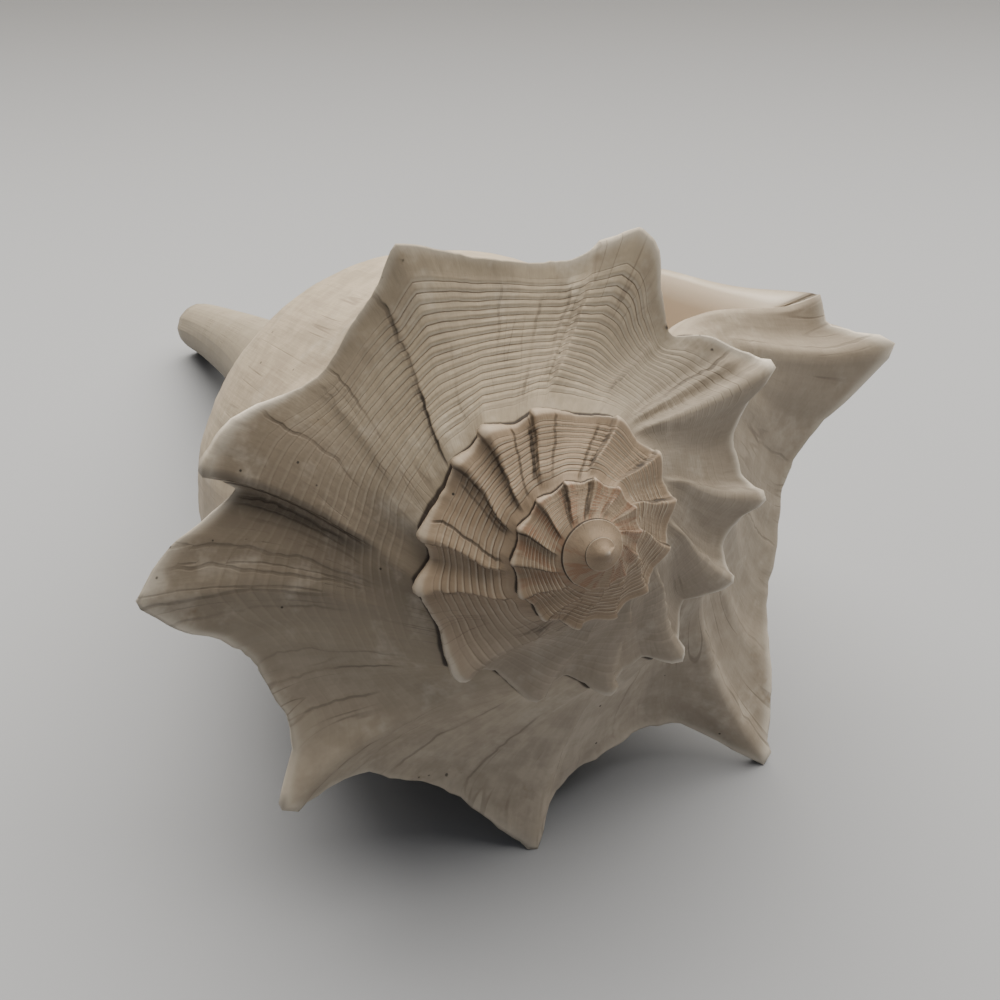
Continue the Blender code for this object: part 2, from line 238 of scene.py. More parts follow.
def body(turn, share, spined=1):
    """(angle, radius, drop) of the wall at these shares of the way from the keel to the canal's end.

    spined is 1 with the spines, 0 without, and -1 with only the hollows between them.
    """
    turn, share = np.broadcast_arrays(np.asarray(turn, float), np.asarray(share, float))
    lip = smooth_curve(LIP_OUTLINE, share)
    inner = smooth_curve(INNER_OUTLINE, share)
    grown = size(turn)[..., None]
    late = (grown - size(-360.0)) / (1 - size(-360.0))
    point = np.where(late < 0, lip * grown, inner + (lip - inner) * late)
    if spined:
        below = (point[..., 1] - KEEL_DROP * size(turn)) / (FOLD_DEPTH * size(turn))
        chips = CHIPPED * size(turn) * rough_noise(turn / CHIP_SPACING, 0.0, 101, 3)
        chips = chips * eased((turn - SMOOTH_TURN) / SMOOTH_FADE)
        stand = keel_stand(turn) + chips if spined > 0 else np.minimum(keel_stand(turn), 0.0)
        stand = stand * np.clip(1 - below, 0, 1) ** 2
        point = point + np.stack([stand, -SPINE_LEAN * stand], -1)
    slot = eased((share - SLOT_SHARE) / (1 - SLOT_SHARE))
    slot = slot * np.maximum(0.0, 1 + turn / (360.0 - SEAM_LEAD))
    bow = LIP_BULGE * np.sin(math.pi * np.clip(share / BULGE_SHARE, 0, 1)) ** 2
    bow = bow * eased(1 + turn / BOW_TURN)
    angle = np.radians(turn - SLOT_TURN * slot + bow)
    return np.concatenate([angle[..., None], point], -1)


def shoulder(turn, seam_turn, share, spined=1):
    """(angle, radius, drop) of the sloping shoulder, from the seam at share 0 to the keel at 1."""
    turn, seam_turn, share = np.broadcast_arrays(turn, seam_turn, share)
    seam = body(seam_turn, SEAM_SHARE, spined)
    seam_plain = body(seam_turn, SEAM_SHARE, 0)
    keel = body(turn, 0.0, spined)
    keel_plain = body(turn, 0.0, 0)
    s = share[..., None]
    line = seam_plain + (keel_plain - seam_plain) * s
    bow = math.radians(SHOULDER_BOW) * 6.75 * share * (1 - share) ** 2 * eased(1 + turn / BOW_TURN)
    lead = seam[..., 0] + 2 * math.pi - keel[..., 0]
    line[..., 0] = keel[..., 0] + lead * (1 - share) ** LEAD_CURVE + bow
    sag = SHOULDER_SAG * size(turn) * 4 * share * (1 - share)
    rise = relief(turn) * share**1.5 * (1 - share**6) if spined else 0.0
    if spined < 0:
        rise = np.minimum(rise, 0.0)
    level = np.array([0.0, -SHOULDER_LEAN, 1.0]) * (sag - rise)[..., None]
    return line + level + (seam - seam_plain) * (1 - s) ** 3 + (keel - keel_plain) * s**3


def skin_point(turn, seam_turn, q, spined=1):
    """The wall at q from -1, the seam, over 0, the keel, to 1, the canal's end."""
    turn, seam_turn, q = np.broadcast_arrays(turn, seam_turn, q)
    upper = shoulder(turn, seam_turn, np.clip(1 + q, 0, 1), spined)
    lower = body(turn, np.clip(q, 0, 1), spined)
    return np.where((q < 0)[..., None], upper, lower)


def to_place(points):
    """(angle, radius, drop) in lip radii to metres, with the apex at the origin and +Z towards it."""
    angle, radius, drop = np.moveaxis(points, -1, 0)
    bend = BEND * np.clip((drop - BEND_START) / (LIP_OUTLINE[-1][1] - BEND_START), 0, 1) ** 2
    x = radius * np.cos(angle) + bend * math.cos(math.radians(BEND_TURN))
    y = radius * np.sin(angle) + bend * math.sin(math.radians(BEND_TURN))
    return LIP_RADIUS * np.stack([x, y, -drop], -1)


# Fine relief, in metres. Each is measured out from the plain wall.
CORDS = 17.0  # how many spiral cords the shoulder of the last whorl has
EARLY_CORDS = 10.0  # and the shoulders before it
CORD_START = 0.10  # share of the shoulder where they start
CORD_END = 0.88
CORD_HEIGHT = 0.00062  # at the outer lip; it grows with the shell
SPIRE_CORDS = 1.5  # how much higher they are on the spire
CORD_STEPS = [(-305.5, 0.4), (-257.6, -0.3)]  # turns where the cords jog, and by how many cords
SPIRE_END = -500.0  # turn where these higher cords end
CORD_FADE = [  # turn, and how strong the cords are there
    (-1800, 0.0), (-1260, 0.0), (-1150, 0.8), (-590, 0.9), (-560, 0.7), (-530, 0.5), (-500, 0.2),
    (-400, 0.1), (-360, 0.15), (-328, 0.85), (-262, 0.9), (-245, 0.5), (-222, 0.3), (-205, 0.1),
    (-170, 0.05), (0, 0.05),
]

# Old edges of the lip on the last whorl: turn, height in millimetres, degrees that it rises over, degrees
# that it falls over, the shares of the shoulder where it starts and ends, and how dark its foot is: a
# crack there, with painted shadow under the step.
RIDGES = [
    (-348.0, 1.0, 7.0, 1.6, 0.10, 1.0, 0.5), (-330.5, 0.5, 5.0, 1.3, 0.20, 0.85, 0.3),
    (-307.5, 1.1, 6.0, 1.4, 0.10, 1.1, 0.4), (-303.5, 0.8, 2.0, 1.4, 0.15, 0.9, 0.3),
    (-257.6, 0.5, 5.0, 1.0, 0.0, 1.1, 0.3), (-237.0, 0.4, 4.0, 1.3, 0.2, 1.0, 0.1),
    (-215.3, 1.5, 8.0, 1.4, 0.22, 1.1, 0.8), (-204.0, 0.4, 5.0, 1.6, 0.2, 1.1, 0.2),
    (-196.5, 0.5, 5.0, 1.6, 0.35, 1.1, 0.25), (-179.0, 0.5, 6.0, 2.0, 0.2, 1.1, 0.2),
    (-153.5, 1.3, 8.0, 1.6, 0.3, 1.1, 0.3), (-147.0, 0.5, 3.0, 1.4, 0.4, 1.0, 0.2),
    (-107.5, 1.3, 7.0, 1.6, 0.3, 1.1, 0.3), (-98.0, 0.6, 5.0, 1.6, 0.4, 1.0, 0.1),
    (-69.0, 1.4, 8.0, 1.6, 0.3, 1.1, 0.3), (-58.0, 0.6, 4.0, 1.6, 0.4, 1.0, 0.1),
    (-9.5, 1.0, 6.0, 1.6, 0.3, 1.1, 0.2),
]
SPIRE_RIDGE = 0.070  # height of a spire spine's own old edge, in metres per metre of keel radius
SPIRE_RISE = 11.0
SPIRE_FALL = 0.8
# Turn, and how dark the cracks behind the spire's spines are there, with painted shadow under each step.
SPIRE_DARK = [(-1800, 0.0), (-1250, 0.0), (-1180, 1.0), (-520, 1.0), (-490, 0.2), (-352, 0.2)]
# Each spire spine's dark line lies at the foot of its drop: a crack with painted shadow under the step.
CRACK_REACH = 0.9  # degrees from the foot of an old edge to its crack, on the spire

# Fine dark growth lines without relief: turn, shares of the shoulder where each starts and ends, darkness.
FINE_LINES = [
    (-257.6, 0.0, 1.0, 0.9), (-330.5, 0.2, 0.7, 0.4), (-295.0, 0.1, 0.8, 0.3), (-284.0, 0.3, 0.9, 0.2),
    (-270.0, 0.1, 0.6, 0.2), (-240.0, 0.4, 1.0, 0.3), (-227.0, 0.5, 1.0, 0.5), (-211.0, 0.4, 1.0, 0.4),
    (-207.5, 0.3, 0.9, 0.2), (-199.2, 0.3, 1.0, 0.25), (-191.0, 0.4, 1.1, 0.2), (-171.0, 0.3, 1.1, 0.3),
    (-162.0, 0.5, 1.1, 0.3), (-138.0, 0.2, 1.0, 0.3), (-121.0, 0.3, 1.0, 0.3), (-88.0, 0.3, 1.0, 0.2),
    (-40.0, 0.3, 1.0, 0.2), (-25.0, 0.3, 1.0, 0.2), (-545.0, 0.1, 0.9, 0.5), (-573.0, 0.1, 1.0, 0.7),
    (-591.0, 0.1, 0.9, 0.4), (-622.0, 0.1, 1.0, 0.6), (-631.0, 0.2, 0.9, 0.8), (-644.0, 0.1, 1.0, 0.5),
    (-668.0, 0.0, 0.9, 0.5), (-702.0, 0.0, 0.9, 0.4), (-985.0, 0.0, 1.0, 0.6), (-1012.0, 0.0, 1.0, 0.7),
]


def cord_phase(turn, share):
    """Counts the cords outwards from the seam."""
    wander = 0.16 * noise(turn / 11.0, share * 2.0, 3) + 0.05 * noise(turn / 3.1, share * 9.0, 4)
    jog = sum(jump * eased((turn - place) / 1.5 + 0.5) for place, jump in CORD_STEPS)
    count = np.where(turn < -360.0, EARLY_CORDS, CORDS)
    return (share - CORD_START) / (CORD_END - CORD_START) * count + wander + jog


def cord_strength(turn, share):
    """How much of their full height the cords have, from 0 to about 1."""
    fade_turns, fades = np.array(CORD_FADE).T
    there = eased((share - CORD_START) / 0.08) * eased((CORD_END + 0.03 - share) / 0.08)
    return there * np.interp(turn, fade_turns, fades) * (0.8 + 0.35 * noise(turn / 7.0, share * 5.0, 9))


def beyond(turn, share, place):
    """Degrees from an old lip edge, in the direction of growth."""
    return turn - place - 0.6 * noise(share * 7.0, place, 11) - 0.25 * noise(share * 31.0, place, 12)


def old_edge(x, rise, fall):
    """Profile of an old lip edge: a slow rise in the direction of growth, and a drop behind the edge."""
    return np.where(x < 0, np.exp(x / rise), np.exp(-((x / fall) ** 2)))


def nearer(found, x, dark):
    """The nearer of two marks, cracks and painted shadows at old edges' feet, as degrees from it and how
    dark it is.
    """
    closer = np.abs(x) < np.abs(found[0])
    return np.where(closer, x, found[0]), np.where(closer, dark, found[1])


def old_edges(turn, share):
    """Height of all the old lip edges, in metres, and the nearest of the cracks and of the painted shadows
    at the edges' feet: degrees from it, and how dark.
    """
    height = 0.0
    crack_and_shadow = (np.full(np.broadcast(turn, share).shape, 90.0), 0.0)
    for place, low, high, dark in FINE_LINES:
        there = eased((share - low) / 0.1) * eased((high - share) / 0.1)
        crack_and_shadow = nearer(crack_and_shadow, beyond(turn, share, place), dark * there)
    for place, tall, rise, fall, low, high, dark in RIDGES:
        there = eased((share - low) / 0.2) * eased((high - share) / 0.1)
        x = beyond(turn, share, place)
        height = height + 0.001 * tall * there * old_edge(x, rise, fall)
        # A crack at the foot of the drop, darkened as painted shadow under the step.
        crack_and_shadow = nearer(crack_and_shadow, x - 0.8 * fall, dark * there)
    for place, reach in SPINES:
        if place < -352.0:
            grown = float(size(place))
            there = eased((share - 0.05) / 0.25) * eased((1.06 - share) / 0.1)
            x = beyond(turn, share, place + 1.5)
            tall = SPIRE_RIDGE * LIP_RADIUS * grown * min(1.0, reach / (0.03 * grown))
            height = height + tall * there * old_edge(x, SPIRE_RISE, SPIRE_FALL)
            dark = min(1.0, reach / (0.03 * grown)) * (0.75 + 0.25 * noise(share * 9.0, place, 13))
            dark = dark * np.interp(place, *np.array(SPIRE_DARK).T)
            # A crack at the foot of the spire spine's drop, darkened as painted shadow under the step.
            crack_and_shadow = nearer(crack_and_shadow, x - CRACK_REACH, dark * there)
    return height, crack_and_shadow


def shoulder_relief(turn, share, overhang):
    """Height of the fine relief on the shoulder, in metres, and what its points carry for the colours.

    overhang is the share of the shoulder that the keel of the whorl before hides.
    """
    grown = size(turn)
    phase = cord_phase(turn, share)
    t = phase - np.floor(phase)
    strength = cord_strength(turn, share)
    cord = np.where(t < 0.22, t / 0.22, 1 - (t - 0.22) / 0.78)
    height = CORD_HEIGHT * grown**0.8 * strength * (cord - 0.5)
    height = height * np.where(turn < SPIRE_END, SPIRE_CORDS, 1.0)
    growth = turn + 1.2 * noise(share * 4.0, turn / 30.0, 21)
    outwards = 0.25 + 0.75 * share
    late = 1 + 1.2 * eased((turn + 240.0) / 40.0)
    height = height + 0.00022 * late * grown * outwards * rough_noise(growth * 0.45, 0.0, 31)
    height = height + 0.00012 * grown * outwards * rough_noise(growth * 1.4, share * 1.5, 41, 2)
    height = height + 0.00060 * grown * noise(turn / 14.0, share * 2.6, 51) * share
    edges, (away, dark) = old_edges(turn, share)
    mm = 1000.0 * LIP_RADIUS * grown * (0.5 + 0.5 * share) * math.pi / 180.0
    dark = dark * eased((1.9 * grown - np.abs(away * mm)) / (0.9 * grown))
    # Painted shadow on the shoulder just past the overhanging keel of the whorl before, fainter on the
    # first whorls.
    suture_shadow = eased(1 - (share - overhang) / 0.03) * np.interp(turn, (-1350, -1150), (0.1, 1.0))
    carried = {
        "phase": phase,
        "corded": strength,
        "line": np.clip(away * mm, -5, 5),
        "crack_and_shadow": dark,
        "suture_shadow": suture_shadow,
    }
    return (height + edges) * eased(share / 0.04), carried


def body_relief(turn, share):
    """Height of the fine relief on the body, in metres."""
    grown = size(turn)
    growth = turn + 2.0 * noise(share * 6.0, turn / 25.0, 61)
    height = 0.00022 * grown * rough_noise(growth * 0.35, share * 2.0, 71)
    height = height + 0.00010 * grown * rough_noise(growth * 1.3, share * 3.0, 81, 2)
    height = height + 0.0006 * grown * noise(turn / 16.0, share * 7.0, 91)
    threads = np.sin(2 * math.pi * (share * 60.0 + 0.3 * noise(turn / 9.0, share * 6.0, 95)))
    height = height + 0.00006 * grown * threads
    return height * (1 - 0.75 * eased((share - CANAL_SHARE) / CANAL_BLEND))


BODY_SHARES = np.concatenate(
    [SEAM_SHARE * (np.arange(KEEL_ROWS) / KEEL_ROWS) ** 1.4, np.linspace(SEAM_SHARE, 1.0, BODY_ROWS)]
)


def seam_fade(turn, share):
    """0 at the seam row of the whorls that have another one on them, and 1 elsewhere."""
    covered = eased(1 - (turn + 360.0 - SEAM_LEAD) / 6.0)
    return 1 - covered * eased(1 - np.abs(share - SEAM_SHARE) / (0.5 * SEAM_SHARE))


def shell_column(turns, seam_turns, rows):
    """Places of whole columns: the shoulder in this many rows, the keel, and the body to the canal."""
    q = np.concatenate([np.arange(rows) / rows - 1, BODY_SHARES])
    turn, seam = turns[:, None], seam_turns[:, None]
    place = to_place(skin_point(turn, seam, q))
    step = 0.4
    ahead = to_place(skin_point(turn + step, seam + step, q))
    behind = to_place(skin_point(turn - step, seam - step, q))
    down = np.gradient(place, axis=1)
    out = np.cross(ahead - behind, down)
    out /= np.maximum(np.linalg.norm(out, axis=-1, keepdims=True), 1e-12)
    if (out[:, -1] * place[:, -1]).sum() < 0:
        out = -out
    share = np.clip(1 + q, 0, 1)
    keel_radius, seam_radius = body(turn, 0.0)[..., 1], body(seam, SEAM_SHARE)[..., 1]
    overhang = (body(seam, 0.0)[..., 1] - seam_radius) / (keel_radius - seam_radius)
    on_shoulder, carried = shoulder_relief(turn, share, overhang)
    on_body = body_relief(turn, np.clip(q, 0, 1)) * seam_fade(turn, q)
    passing = eased(np.clip(q, 0, 1) / (0.6 * SEAM_SHARE))
    height = np.where(q < 0, on_shoulder, on_shoulder[:, [rows]] * (1 - passing) + on_body * passing)
    rim = np.clip((turn + 2.2) / 2.2, 0, 1)
    height = height - 0.25 * LIP_THICKNESS * (1 - np.sqrt(1 - rim**2)) * (1 - 0.5 * share)
    height = np.where(height < 0, height * (1 - 0.95 * np.exp(-((q / 0.06) ** 2))), height)
    covered = eased(1 - (turn + 360.0 - SEAM_LEAD) / 6.0)
    carried["inside"] = 0.0
    carried["corded"] = np.where(q < 0, carried["corded"], 0.0)
    carried["crack_and_shadow"] = carried["crack_and_shadow"] * np.exp(-((np.maximum(q, 0.0) / 0.05) ** 2))
    # Painted shadow along the seam on the body of each whorl that another covers.
    on_seam = covered * np.exp(-(((q - SEAM_SHARE) / 0.02) ** 2))
    carried["suture_shadow"] = np.where(q < 0, carried["suture_shadow"], on_seam)
    reach = np.clip(keel_stand(turn) / size(turn) / 0.12, 0, 1)
    # Pale rim along the keel, strongest at the spines: worn, and partly a painted highlight on the sharp
    # edge.
    carried["worn_lit_rim"] = np.exp(-((q / 0.03) ** 2)) * (0.35 + 0.65 * reach)
    masks = np.stack([np.broadcast_to(carried[name], height.shape) for name in MASKS], -1)
    return place + out * height[..., None], np.broadcast_to(q, height.shape), masks


# What each point carries for the colours. phase counts the cords, and line is the distance to the nearest
# of the cracks and painted step shadows, in millimetres. The others go from 0 to 1.
MASKS = ["inside", "phase", "corded", "line", "crack_and_shadow", "suture_shadow", "worn_lit_rim"]
BARE = (0.0,) * len(MASKS)
INSIDE = (1.0, *BARE[1:])


class Skin:
    """Collects points and faces. Each face's corners carry (turn, q), and each point carries its masks."""

    def __init__(self):
        self.places = []
        self.total = 0
        self.faces = []
        self.corners = []
        self.masks = []

    def points(self, places, masks=BARE):
        places = np.asarray(places, float)
        flat = places.reshape(-1, 3)
        ids = np.arange(self.total, self.total + len(flat)).reshape(places.shape[:-1])
        self.places.append(flat)
        carried = np.broadcast_to(masks, (*places.shape[:-1], len(MASKS)))
        self.masks.append(carried.reshape(-1, len(MASKS)))
        self.total += len(flat)
        return ids

    def strip(self, a, b, uv_a, uv_b):
        """Quads between two rows of the same length."""
        self.faces += np.stack([a[:-1], a[1:], b[1:], b[:-1]], -1).tolist()
        self.corners.append(np.stack([uv_a[:-1], uv_a[1:], uv_b[1:], uv_b[:-1]], -2).reshape(-1, 2))

    def face(self, ids, uvs):
        """One face, left out where two of its corners are the same point."""
        if len(set(ids)) == len(ids):
            self.faces.append([int(n) for n in ids])
            self.corners.append(np.asarray(uvs, float).reshape(-1, 2))

    def zip(self, a, b, uv_a, uv_b, points):
        """Triangles between two rows of any length, each across the shorter diagonal."""
        n = m = 0
        while n < len(a) - 1 or m < len(b) - 1:
            if m == len(b) - 1:
                step_a = True
            elif n == len(a) - 1:
                step_a = False
            else:
                to_a = np.linalg.norm(points[a[n + 1]] - points[b[m]])
                to_b = np.linalg.norm(points[a[n]] - points[b[m + 1]])
                step_a = to_a < to_b
            if step_a:
                self.face([a[n], a[n + 1], b[m]], [uv_a[n], uv_a[n + 1], uv_b[m]])
                n += 1
            else:
                self.face([a[n], b[m + 1], b[m]], [uv_a[n], uv_b[m + 1], uv_b[m]])
                m += 1


def pairs(turn, q):
    """(turn, q) for the corners of a column, as texture coordinates."""
    q = np.asarray(q, float)
    return np.stack([np.broadcast_to(turn, q.shape) / 360.0, q], -1)


def rows_at(turn):
    for last, rows in WHORL_ROWS:
        if turn <= last:
            return rows
    return WHORL_ROWS[-1][1]


def add_whorls(skin):
    """The outside: returns each column's ids and texture coordinates. Each begins on the whorl before."""
    turns = np.linspace(FIRST_TURN, 0.0, round(-FIRST_TURN / 360.0 * PER_TURN) + 1)
    for point in KEEL_TURNS[(KEEL_TURNS > FIRST_TURN) & (KEEL_TURNS < 0)]:
        turns[np.argmin(np.abs(turns - point))] = point
    covered = PER_TURN - LEAD_STEPS
    seam_turns = turns - 360.0 + SEAM_LEAD
    seam_turns[covered:] = turns[: len(turns) - covered]
    full_from = len(turns) - 1 - covered
    rows = np.array([rows_at(t) for t in turns])
    columns, coords = [], []
    first = 0
    while first < len(turns):
        last = first
        while last < len(turns) and rows[last] == rows[first]:
            last += 1
        count = rows[first]
        place, q, masks = shell_column(turns[first:last], seam_turns[first:last], count)
        for k, n in enumerate(range(first, last)):
            end = len(BODY_SHARES) + count if n >= full_from else count + KEEL_ROWS + 1
            if n < covered:
                columns.append(skin.points(place[k, :end], masks[k, :end]))
            else:
                own = skin.points(place[k, 1:end], masks[k, 1:end])
                earlier = columns[n - covered]
                seam = earlier[rows[n - covered] + KEEL_ROWS]
                columns.append(np.concatenate([[seam], own]))
            coords.append(pairs(turns[n], q[k, :end]))
        first = last
    return columns, coords, rows, full_from


def join_whorls(skin, columns, coords, rows):
    """Faces between neighbouring columns of the outside."""
    points = np.concatenate(skin.places)
    for n in range(len(columns) - 1):
        a, b, uv_a, uv_b = columns[n], columns[n + 1], coords[n], coords[n + 1]
        if rows[n] == rows[n + 1]:
            shared = min(len(a), len(b))
            skin.strip(a[:shared], b[:shared], uv_a[:shared], uv_b[:shared])
        else:
            r, s = rows[n], rows[n + 1]
            skin.zip(a[: r + 1], b[: s + 1], uv_a[: r + 1], uv_b[: s + 1], points)
            shared = min(len(a) - r, len(b) - s)
            skin.strip(a[r : r + shared], b[s : s + shared], uv_a[r : r + shared], uv_b[s : s + shared])


def add_nucleus(skin, columns, rows):
    """The smooth domed tip of the spire, which closes the first whorl."""
    rim = [column[0] for column in columns[: PER_TURN - LEAD_STEPS + 1]]
    rim += list(columns[0][rows[0] + KEEL_ROWS - 1 : 0 : -1])
    rim = np.array(rim)
    edge = np.concatenate(skin.places)[rim]
    rings = [rim]
    levels = [1.0, 0.85, 0.65, 0.4, 0.2]
    for level in levels[1:]:
        ring = edge * np.array([level, level, level**1.9])
        rings.append(skin.points(ring))
    first = FIRST_TURN / 360.0 - 1
    turn = first + np.linspace(0, 1, len(rim))
    for n in range(len(rings) - 1):
        a, b = rings[n], rings[n + 1]
        uv_a = np.stack([turn, np.full(len(rim), -levels[n])], -1)
        uv_b = np.stack([turn, np.full(len(rim), -levels[n + 1])], -1)
        skin.strip(a, b, uv_a, uv_b)
        skin.face([a[-1], a[0], b[0], b[-1]], [uv_a[-1], uv_a[0], uv_b[0], uv_b[-1]])
    tip = skin.points(np.zeros((1, 3)))[0]
    last = rings[-1]
    for n in range(len(last)):
        skin.face([last[n], last[(n + 1) % len(last)], tip], [[first, 0.0]] * 3)


def mouth_walls(depth, rows):
    """Outer and inner wall of the mouth's hollow, at a depth from 0, the lip, to 1, its closed end."""
    q = np.concatenate([np.arange(rows) / rows - 1, BODY_SHARES])
    share = np.clip(q, 0, 1)
    back = MOUTH_TURN + (CANAL_TURN - MOUTH_TURN) * eased(share / REACH_SHARE)
    turn = -back * depth
    seam = turn - 360.0 + SEAM_LEAD
    line = skin_point(turn, seam, q, -1)
    small = 0.004
    along = skin_point(turn, seam, q + small, -1)[:, 1:] - skin_point(turn, seam, q - small, -1)[:, 1:]
    along /= np.linalg.norm(along, axis=-1, keepdims=True)
    thickness = LIP_THICKNESS / LIP_RADIUS * (1 - (1 - CANAL_WALL) * share)
    thickness = thickness * (THIN_WALL + (1 - THIN_WALL) * size(turn))
    rim = 1 - np.clip(back * depth / 4.0, 0, 1)
    thickness = thickness * (1 - 0.35 * (1 - np.sqrt(1 - rim**2)))
    wall = line + np.stack([np.zeros_like(q), -along[:, 1], along[:, 0]], -1) * thickness[:, None]
    keel = skin_point(turn, seam, 0.0, -1)
    wall[:, 1] = np.where(q < 0, np.minimum(wall[:, 1], keel[:, 1] - thickness), wall[:, 1])
    wall[:, 2] = np.where(q < 0, wall[:, 2], np.maximum(wall[:, 2], keel[:, 2] + 0.75 * thickness))
    start = body(-360.0 + SEAM_LEAD, share, 0)
    shrink = size(turn) ** (1 - share)
    dip = CANAL_HOLLOW * eased((share - CANAL_SHARE) / CANAL_BLEND) * 4 * depth * (1 - depth)
    deeper = thickness * min(1.0, PILLAR_STEP * depth) * (1 - share)
    angle = start[:, 0] + 2 * math.pi + wall[:, 0]
    pillar = np.stack([angle, start[:, 1] * shrink - dip, start[:, 2] * shrink + deeper], -1)
    return wall, pillar[rows + KEEL_ROWS :], pairs(turn, q)


def add_mouth(skin, columns, coords, rows, full_from):
    """The hollow behind the lip, and the rim at the canal's end."""
    count = rows[-1]
    start = rows[full_from] + KEEL_ROWS
    inner = [columns[full_from][start:]]
    inner_uv = [coords[full_from][start:]]
    outer, outer_uv = [], []
    for k in range(MOUTH_COLUMNS + 1):
        depth = (k / MOUTH_COLUMNS) ** 1.15
        wall, pillar, uv = mouth_walls(depth, count)
        outer.append(skin.points(to_place(wall), INSIDE))
        outer_uv.append(uv)
        if k:
            inner.append(skin.points(to_place(pillar), INSIDE))
            inner_uv.append(uv[-len(pillar) :])
    skin.strip(columns[-1], outer[0], coords[-1], outer_uv[0])
    for k in range(MOUTH_COLUMNS):
        skin.strip(outer[k], outer[k + 1], outer_uv[k], outer_uv[k + 1])
        skin.strip(inner[k + 1], inner[k], inner_uv[k + 1], inner_uv[k])
        corners = [outer[k + 1][0], outer[k][0], inner[k][0], inner[k + 1][0]]
        kept = [c for n, c in enumerate(corners) if c not in corners[:n]]
        skin.face(kept, [outer_uv[k][0]] * len(kept))
    points = np.concatenate(skin.places)
    skin.zip(inner[-1], outer[-1], inner_uv[-1], outer_uv[-1], points)
    rim = [column[-1] for column in columns[: full_from - 1 : -1]]
    rim_uv = [uv[-1] for uv in coords[: full_from - 1 : -1]]
    other = [row[-1] for row in outer] + [row[-1] for row in reversed(inner)]
    other_uv = [uv[-1] for uv in outer_uv] + [uv[-1] for uv in reversed(inner_uv)]
    skin.zip(rim, other, rim_uv, other_uv, points)


def shell_turn():
    """Turns the shell from its own axis to how it lies."""
    slope = Matrix.Rotation(math.radians(90.0 - AXIS_SLOPE), 3, "X")
    return np.array(slope @ Matrix.Rotation(math.radians(SPIN), 3, "Z"))


def node_points(node):
    """The points of a mesh object, in its own frame."""
    found = np.empty(len(node.data.vertices) * 3)
    node.data.vertices.foreach_get("co", found)
    return found.reshape(-1, 3)


def shell_mesh(node):
    skin = Skin()
    columns, coords, rows, full_from = add_whorls(skin)
    join_whorls(skin, columns, coords, rows)
    add_nucleus(skin, columns, rows)
    add_mouth(skin, columns, coords, rows, full_from)
    turned = shell_turn()
    cad = node_points(node)
    apex = cad[np.argmax(cad @ turned[:, 2])]
    places = np.concatenate(skin.places) @ turned.T + apex
    places = np.clip(places, cad.min(0), cad.max(0))
    data = bpy.data.meshes.new("shell")
    data.from_pydata(places.tolist(), [], skin.faces)
    layer = data.uv_layers.new(name="growth")
    layer.data.foreach_set("uv", np.concatenate(skin.corners).astype(np.float32).reshape(-1))
    for name, values in zip(MASKS, np.concatenate(skin.masks).T):
        mask = data.attributes.new(name, "FLOAT", "POINT")
        mask.data.foreach_set("value", np.ascontiguousarray(values, np.float32))
    tidy = bmesh.new()
    tidy.from_mesh(data)
    bmesh.ops.recalc_face_normals(tidy, faces=tidy.faces)
    tidy.to_mesh(data)
    tidy.free()
    data.shade_smooth()
    return data, apex


class Nodes:
    """Short ways to build a material's nodes."""

    def __init__(self, material):
        self.tree = material.node_tree
        self.count = 0

    def add(self, kind, **settings):
        node = self.tree.nodes.new(kind)
        node.location = (-200 * (self.count % 12), -180 * (self.count // 12))
        self.count += 1
        for name, value in settings.items():
            setattr(node, name, value)
        return node

    def feed(self, socket, value):
        if isinstance(value, bpy.types.NodeSocket):
            self.tree.links.new(value, socket)
        else:
            socket.default_value = value

    def math(self, operation, a, b=0.0, c=0.0):
        node = self.add("ShaderNodeMath", operation=operation)
        for socket, value in zip(node.inputs, (a, b, c)):
            self.feed(socket, value)
        return node.outputs[0]

    def times(self, a, b):
        return self.math("MULTIPLY", a, b)

    def band(self, value, low, high, to_low=0.0, to_high=1.0):
        """Smooth passage of a value's range to another."""
        node = self.add("ShaderNodeMapRange", interpolation_type="SMOOTHSTEP")
        for socket, given in zip(node.inputs, (value, low, high, to_low, to_high)):
            self.feed(socket, given)
        return node.outputs[0]

    def noise(self, vector, scale, detail=4.0, rough=0.55):
        node = self.add("ShaderNodeTexNoise")
        self.feed(node.inputs["Vector"], vector)
        node.inputs["Scale"].default_value = scale
        node.inputs["Detail"].default_value = detail
        node.inputs["Roughness"].default_value = rough
        return node.outputs["Fac"]

    def mix(self, factor, a, b, kind="MIX"):
        node = self.add("ShaderNodeMix", data_type="RGBA", blend_type=kind)
        self.feed(node.inputs["Factor"], factor)
        self.feed(node.inputs[6], a)
        self.feed(node.inputs[7], b)
        return node.outputs[2]

    def vector(self, x, y, z):
        node = self.add("ShaderNodeCombineXYZ")
        for socket, value in zip(node.inputs, (x, y, z)):
            self.feed(socket, value)
        return node.outputs[0]


# Colours of the material, in linear red, green, blue and alpha.
CHALK = (0.46, 0.385, 0.295, 1.0)
DULL_CHALK = (0.40, 0.325, 0.235, 1.0)
PATCH = (0.37, 0.30, 0.22, 1.0)
GROWTH_STREAK = (0.20, 0.165, 0.125, 1.0)
DIRT = (0.21, 0.168, 0.122, 1.0)
BLOOM = (0.60, 0.54, 0.45, 1.0)
CANAL = (0.24, 0.205, 0.15, 1.0)
# Painted light on the body more than 216 degrees back from the lip, and painted shade on the body near the
# lip.
BODY_PAINTED_LIGHT = (1.10, 1.11, 1.12, 1.0)  # multiplies the chalk
LIP_PAINTED_SHADE = (0.76, 0.77, 0.77, 1.0)
SPIRE_TAN = (0.29, 0.20, 0.12, 1.0)
SPIRE_RED = (0.24, 0.085, 0.035, 1.0)
